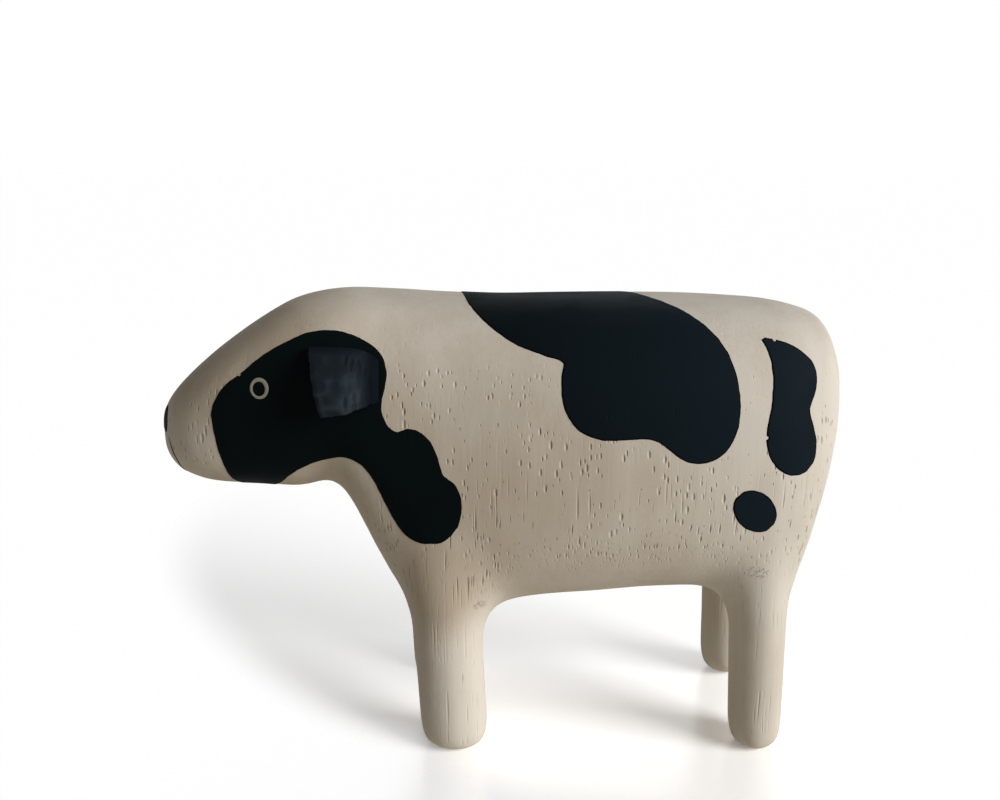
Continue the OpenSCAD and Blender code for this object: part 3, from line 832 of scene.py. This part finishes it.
def line_tree():
    """A painted line: a flat bead of paint that follows a path over a surface."""
    if "Painted Line" in bpy.data.node_groups:
        return bpy.data.node_groups["Painted Line"]
    tree, given, out = group(
        "Painted Line", "GeometryNodeTree",
        {"Path": ("Geometry",), "Surface": ("Object",), "Width": ("Float", 0.4 * MM),
         "Thickness": ("Float", 0.1 * MM), "Lift": ("Float", 0.0),
         "Unevenness": ("Float", 0.2), "Seed": ("Float", 1.0), "Paint": ("Material",)},
        {"Line": ("Geometry",)})
    skin = put(tree, "GeometryNodeObjectInfo", {"Object": given["Surface"]}).outputs["Geometry"]
    path = put(tree, "GeometryNodeResampleCurve",
               {"Curve": given["Path"], "Length": 0.12 * MM}, mode="LENGTH").outputs[0]
    up = put(tree, "GeometryNodeSampleNearestSurface", {
        "Mesh": skin, "Value": put(tree, "GeometryNodeInputNormal").outputs[0]},
        data_type="FLOAT_VECTOR").outputs[0]
    foot = put(tree, "GeometryNodeProximity", {"Geometry": skin}).outputs["Position"]
    raised = vector_sum(tree, foot, scaled(tree, up, given["Lift"]))
    path = put(tree, "GeometryNodeSetPosition", {
        "Geometry": path, "Position": raised}).outputs[0]
    path = put(tree, "GeometryNodeSetCurveNormal", {"Curve": path, "Normal": up},
               mode="FREE").outputs[0]
    hand = put(tree, "ShaderNodeTexNoise", {"W": given["Seed"], "Scale": 800.0, "Detail": 1.0},
               noise_dimensions="4D").outputs["Fac"]
    hand = times(tree, calc(tree, "SUBTRACT", hand, 0.5), given["Unevenness"])
    radius = put(tree, "GeometryNodeInputRadius").outputs[0]
    scale = times(tree, radius, calc(tree, "ADD", hand, 1.0))
    bead = put(tree, "GeometryNodeCurvePrimitiveCircle", {"Resolution": 12, "Radius": 0.5})
    flat = put(tree, "ShaderNodeCombineXYZ", {0: given["Thickness"], 1: given["Width"], 2: 1.0})
    bead = put(tree, "GeometryNodeTransform",
               {"Geometry": bead.outputs[0], "Scale": flat.outputs[0]}).outputs[0]
    line = put(tree, "GeometryNodeCurveToMesh", {
        "Curve": path, "Profile Curve": bead, "Scale": scale, "Fill Caps": True}).outputs[0]
    line = put(tree, "GeometryNodeSetShadeSmooth", {"Geometry": line}).outputs[0]
    line = put(tree, "GeometryNodeRealizeInstances", {"Geometry": line}).outputs[0]
    line = put(tree, "GeometryNodeSetMaterial",
               {"Geometry": line, "Material": given["Paint"]}).outputs[0]
    tree.links.new(line, out["Line"])
    return tree


def painted_line(name, node, path, widths, closed, material, **values):
    """A bead of paint along a path over the block, as wide at each point as its share."""
    curve = bpy.data.curves.new(name + "_path", "CURVE")
    curve.dimensions = "3D"
    spline = curve.splines.new("POLY")
    spline.points.add(len(path) - 1)
    spline.points.foreach_set("co", np.c_[path, np.ones(len(path))].ravel())
    spline.points.foreach_set("radius", np.asarray(widths, np.float32))
    spline.use_cyclic_u = closed
    drawn = bpy.data.objects.new(name + "_path", curve)
    bpy.context.scene.collection.objects.link(drawn)
    brush = drawn.modifiers.new("Brush", "NODES")
    brush.node_group = line_tree()
    values.update(surface=bpy.data.objects["block_wood"], paint=material)
    for item in brush.node_group.interface.items_tree:
        key = item.name.lower()
        if item.in_out == "INPUT" and key in values:
            brush[item.identifier] = values[key]
    graph = bpy.context.evaluated_depsgraph_get()
    mesh = bpy.data.meshes.new_from_object(drawn.evaluated_get(graph))
    bpy.data.objects.remove(drawn)
    piece = new_object(name, mesh, material)
    rides(piece, node)


# Pieces


def block_skin():
    """The block's surface as it is now, to find places on."""
    return BVHTree.FromObject(bpy.data.objects["block_wood"],
                              bpy.context.evaluated_depsgraph_get())


def drill_at(x, z, radius, near, far):
    """A closed drill with its axis along Y, from near to far."""
    turns = np.linspace(0, 2 * math.pi, HOLE_SIDES, endpoint=False)
    ring = [(x + radius * math.cos(t), z + radius * math.sin(t)) for t in turns]
    n = len(ring)
    mesh = bpy.data.meshes.new("drill")
    mesh.from_pydata([(a, y, b) for y in (near, far) for a, b in ring], [],
                     [[i, (i + 1) % n, n + (i + 1) % n, n + i] for i in range(n)]
                     + [list(range(n - 1, -1, -1)), list(range(n, 2 * n))])
    work = bmesh.new()
    work.from_mesh(mesh)
    bmesh.ops.recalc_face_normals(work, faces=work.faces)
    work.to_mesh(mesh)
    work.free()
    drill = bpy.data.objects.new("drill", mesh)
    bpy.context.scene.collection.objects.link(drill)
    return drill


def cut_bores(block):
    """Drills the blind holes that the ear pegs sit in."""
    for side, hand in HANDS.items():
        x, z, radius = peg_axis(side)
        low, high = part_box("ear_peg_" + side)
        floor = min(abs(low.y), abs(high.y)) - HOLE_END
        drill = drill_at(x, z, radius + PEG_ROOM, hand * floor, hand * (floor + DRILL_LENGTH))
        bore = block.modifiers.new("Bore", "BOOLEAN")
        bore.operation = "DIFFERENCE"
        bore.object = drill
        applied(block)
        bpy.data.objects.remove(drill)
    block.data.set_sharp_from_angle(angle=math.radians(50))


def knife_cuts(low, high, hand, chance):
    """Cuts scattered over the box of an ear: their places, depths and radii."""
    places, depths, radii = [], [], []
    for count, front, back, depth, size in (BROAD_CUTS, SCOOPS):
        spots = chance.random((count, 3))
        spots[:, 0] = front + spots[:, 0] * (back - front)
        spots[:, 1] = 0.55 + 0.45 * spots[:, 1] if hand > 0 else 0.45 * spots[:, 1]
        places.append(low + spots * (high - low))
        depths.append(np.full(count, depth) * chance.uniform(0.5, 1.0, count))
        radii.append(np.tile(np.array(size) * MM, (count, 1)))
    return map(np.concatenate, (places, depths, radii))


def carved_ear(side, settings, material):
    """The CAD ear cut over with a knife: broad flats in front, short scoops behind."""
    hand = HANDS[side]
    work = merged("ear_" + side)
    mesh = bpy.data.meshes.new("ear_wood_" + side)
    work.to_mesh(mesh)
    work.free()
    ear = new_object("ear_wood_" + side, mesh, material)
    grid = ear.modifiers.new("Grid", "REMESH")
    grid.mode = "VOXEL"
    grid.voxel_size = settings.voxel
    mesh = applied(ear)
    points, normals, edges = arrays(mesh)
    points = faired(points, edges, 4)
    low, high = points.min(0), points.max(0)
    places, depths, radii = knife_cuts(low, high, hand, np.random.default_rng(settings.seed))
    surface = BVHTree.FromPolygons([Vector(p) for p in points],
                                   [list(p.vertices) for p in mesh.polygons])
    places = on_skin(places, surface)
    away = (((points[:, None] - places) / radii) ** 2).sum(2)
    cut = np.maximum(depths - away, 0).max(1)
    root = min(low[1] * hand, high[1] * hand) + 1.0 * MM
    clear = np.clip((points[:, 1] * hand - root) / (1.6 * MM), 0, 1)
    points -= normals * (cut * settings.depth * clear)[:, None]
    mesh.vertices.foreach_set("co", points.ravel())
    mesh.attributes.new("ridge", "FLOAT", "POINT").data.foreach_set(
        "value", (1 - np.clip(cut / 0.5, 0, 1)).astype(np.float32))
    mesh.shade_smooth()
    rides(ear, "ear_" + side)


def ring_path(node, skin):
    """A circle through the middle of a painted ring, and how thick the brush was on it."""
    low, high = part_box(node)
    centre, normal = skin.find_nearest(Vector((low + high) / 2))[:2]
    back = Vector((1, 0, 0)) - normal * normal.x
    back.normalize()
    up = normal.cross(back) if normal.y > 0 else back.cross(normal)
    radius = (high.z - low.z) / 2 * 0.79
    turns = np.linspace(0, 2 * math.pi, 60, endpoint=False)
    heavy = 0.5 + 0.5 * np.cos(turns + 0.8)
    path = [centre + (back * math.cos(t) * 0.97 + up * math.sin(t) * 1.06) * radius
            for t in turns]
    return on_skin(path, skin), 0.85 + 0.5 * heavy


def mouth_path(skin):
    """The middle of the mouth line from the left side round to the right side."""
    work = merged("mouth_line")
    points = np.array([v.co for v in work.verts])
    work.free()
    points = points[np.argsort(angles(points) % (2 * math.pi))]
    path = points[:len(points) // 4 * 4].reshape(-1, 4, 3).mean(1)
    return on_skin(path, skin)


class COW_OT_block(bpy.types.Operator):
    """Smooths the carved block of wood and gives it its whitewash"""
    bl_idname = "cow.block"
    bl_label = "Carved Block"
    bl_options = {"REGISTER", "UNDO"}

    def execute(self, context):
        block = smooth_block(context.scene.cow_wood, finish_of("Whitewashed Wood"))
        rides(block, "carved_block")
        return {"FINISHED"}


class COW_OT_patches(bpy.types.Operator):
    """Paints the black patches and spots on the block"""
    bl_idname = "cow.patches"
    bl_label = "Black Patches"
    bl_options = {"REGISTER", "UNDO"}

    def execute(self, context):
        skin = block_skin()
        for node, name in (("face_patch_left", "face_paint_left"),
                           ("face_patch_right", "face_paint_right"),
                           ("saddle_patch", "saddle_paint"),
                           ("rump_patch_left", "rump_paint_left"),
                           ("rump_patch_right", "rump_paint_right"),
                           ("hip_spot_left", "spot_paint_left"),
                           ("hip_spot_right", "spot_paint_right")):
            coat(name, node, skin, context.scene.cow_paint)
        return {"FINISHED"}


class COW_OT_nostrils(bpy.types.Operator):
    """Paints the nostrils on the nose"""
    bl_idname = "cow.nostrils"
    bl_label = "Nostrils"
    bl_options = {"REGISTER", "UNDO"}

    def execute(self, context):
        skin = block_skin()
        for side in HANDS:
            coat("nostril_paint_" + side, "nostril_" + side, skin, context.scene.cow_paint)
        return {"FINISHED"}


class COW_OT_mouth(bpy.types.Operator):
    """Draws the mouth line round the muzzle"""
    bl_idname = "cow.mouth"
    bl_label = "Mouth"
    bl_options = {"REGISTER", "UNDO"}

    def execute(self, context):
        paint = context.scene.cow_paint
        path = mouth_path(block_skin())
        ends = np.minimum(np.arange(len(path)), np.arange(len(path))[::-1])
        painted_line("mouth_paint", "mouth_line", path, np.clip(0.35 + ends * 0.3, 0, 1), False,
                     finish_of("Black Paint"), width=paint.mouth_width,
                     thickness=paint.thickness, unevenness=0.5)
        return {"FINISHED"}


class COW_OT_eyes(bpy.types.Operator):
    """Draws a pale ring round each eye, on the black of the face"""
    bl_idname = "cow.eyes"
    bl_label = "Eyes"
    bl_options = {"REGISTER", "UNDO"}

    def execute(self, context):
        paint, skin = context.scene.cow_paint, block_skin()
        for number, side in enumerate(HANDS):
            path, widths = ring_path("eye_ring_" + side, skin)
            painted_line("eye_paint_" + side, "eye_ring_" + side, path, widths, True,
                         finish_of("Ring Paint"), width=0.45 * MM, thickness=0.10 * MM,
                         lift=paint.thickness + 0.02 * MM, unevenness=0.3, seed=float(number))
        return {"FINISHED"}


class COW_OT_ears(bpy.types.Operator):
    """Carves both ears, and drills the block for their pegs"""
    bl_idname = "cow.ears"
    bl_label = "Ears"
    bl_options = {"REGISTER", "UNDO"}

    def execute(self, context):
        cut_bores(bpy.data.objects["block_wood"])
        for side in HANDS:
            carved_ear(side, context.scene.cow_ears, finish_of("Ear Paint"))
            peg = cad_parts["ear_peg_" + side]
            peg.data.materials.clear()
            peg.data.materials.append(finish_of("Peg Wood"))
        return {"FINISHED"}


class COW_OT_stage(bpy.types.Operator):
    """Sets up the floor, the light from all round, the window and the camera"""
    bl_idname = "cow.stage"
    bl_label = "Stage"
    bl_options = {"REGISTER", "UNDO"}

    def execute(self, context):
        scene = context.scene
        settings = scene.cow_stage
        corners = [(x * FLOOR_REACH, y * FLOOR_REACH, 0)
                   for x, y in ((-1, -1), (1, -1), (1, 1), (-1, 1))]
        floor = made("floor", corners, [(0, 1, 2, 3)], stage_material(settings))
        scene.world = bpy.data.worlds.new("Pale Room")
        scene.world.use_nodes = True
        tree = scene.world.node_tree
        sky = tree.nodes["Background"].inputs
        sky["Color"].default_value = WHITE
        tree.links.new(ramp(tree, seen(tree), 0, 1, settings.sky, 1.0), sky["Strength"])
        light = bpy.data.lights.new("window", "SUN")
        light.angle, light.energy = settings.softness, settings.key
        window = bpy.data.objects.new("window", light)
        window.rotation_euler = KEY_FROM.to_track_quat("Z", "Y").to_euler()
        scene.collection.objects.link(window)
        lens = bpy.data.cameras.new("camera")
        lens.sensor_width, lens.lens, lens.clip_start = SENSOR_WIDTH, LENS, 5 * MM
        camera = bpy.data.objects.new("camera", lens)
        camera.location = CAMERA_AT
        camera.rotation_euler = (math.pi / 2 - math.atan(CAMERA_FALL), 0, 0)
        scene.collection.objects.link(camera)
        scene.camera = camera
        scene.view_settings.view_transform = "Standard"
        return {"FINISHED"}


def seen(tree):
    """1 where the camera, gloss or glass looks, and 0 for the light itself."""
    path = put(tree, "ShaderNodeLightPath").outputs
    return calc(tree, "MAXIMUM", path["Is Camera Ray"], calc(
        tree, "MAXIMUM", path["Is Glossy Ray"], path["Is Transmission Ray"]))


def stage_material(settings):
    """A floor that shows white to the camera, with the object's shadow and a blurred mirror
    image. The shadow fades out where the photo's does."""
    material, tree, shader = new_material("Pale Floor")
    looked = seen(tree)
    place = object_place(tree)
    far = distance_from(tree, place, *SHADOW_ZONE)
    shown = times(tree, ramp(tree, far, 0.90, 1.12, settings.shadow, 0.0),
                  ramp(tree, apart(tree, place)[1], -6 * MM, 26 * MM, 1.0, 0.55))
    grey = put(tree, "ShaderNodeCombineColor", {0: shown, 1: shown, 2: shown}).outputs[0]
    tree.links.new(mixed(tree, looked, settings.floor, grey), shader["Base Color"])
    lit = settings.sky + settings.key / math.pi * KEY_FROM.normalized().z
    lift = calc(tree, "SUBTRACT", 1.08, times(tree, shown, lit))
    tree.links.new(times(tree, looked, lift), shader["Emission Strength"])
    shader["Emission Color"].default_value = WHITE
    shader["Specular IOR Level"].default_value = 0.0
    mirror = put(tree, "ShaderNodeBsdfGlossy", {"Roughness": 0.25}, distribution="MULTI_GGX")
    both = put(tree, "ShaderNodeMixShader", {
        0: times(tree, looked, settings.gloss), 1: tree.nodes["Principled BSDF"].outputs[0],
        2: mirror.outputs[0]}).outputs[0]
    tree.links.new(both, tree.nodes["Material Output"].inputs["Surface"])
    return material


class COW_PT_panel(bpy.types.Panel):
    """Lists the pieces of the cow and their settings"""
    bl_idname = "COW_PT_panel"
    bl_label = "Wooden Cow"
    bl_space_type = "VIEW_3D"
    bl_region_type = "UI"
    bl_category = "Cow"

    def draw(self, context):
        for step in STEPS:
            self.layout.operator(step.bl_idname, text=step.bl_label)
        for name in SETTINGS:
            box = self.layout.box()
            group_of = getattr(context.scene, name)
            for key in group_of.bl_rna.properties.keys():
                if key not in ("rna_type", "name"):
                    box.prop(group_of, key)


STEPS = (COW_OT_block, COW_OT_patches, COW_OT_nostrils, COW_OT_mouth, COW_OT_eyes,
         COW_OT_ears, COW_OT_stage)
SETTINGS = {"cow_wood": CowWood, "cow_paint": CowPaint, "cow_ears": CowEars,
            "cow_stage": CowStage}


def register():
    for item in (*SETTINGS.values(), *STEPS, COW_PT_panel):
        bpy.utils.register_class(item)
    for name, item in SETTINGS.items():
        setattr(bpy.types.Scene, name, PointerProperty(type=item))


def unregister():
    for name in SETTINGS:
        delattr(bpy.types.Scene, name)
    for item in (COW_PT_panel, *STEPS, *SETTINGS.values()):
        bpy.utils.unregister_class(item)


def main():
    register()
    for step in STEPS:
        category, name = step.bl_idname.split(".")
        getattr(getattr(bpy.ops, category), name)()


if __name__ == "__main__":
    main()
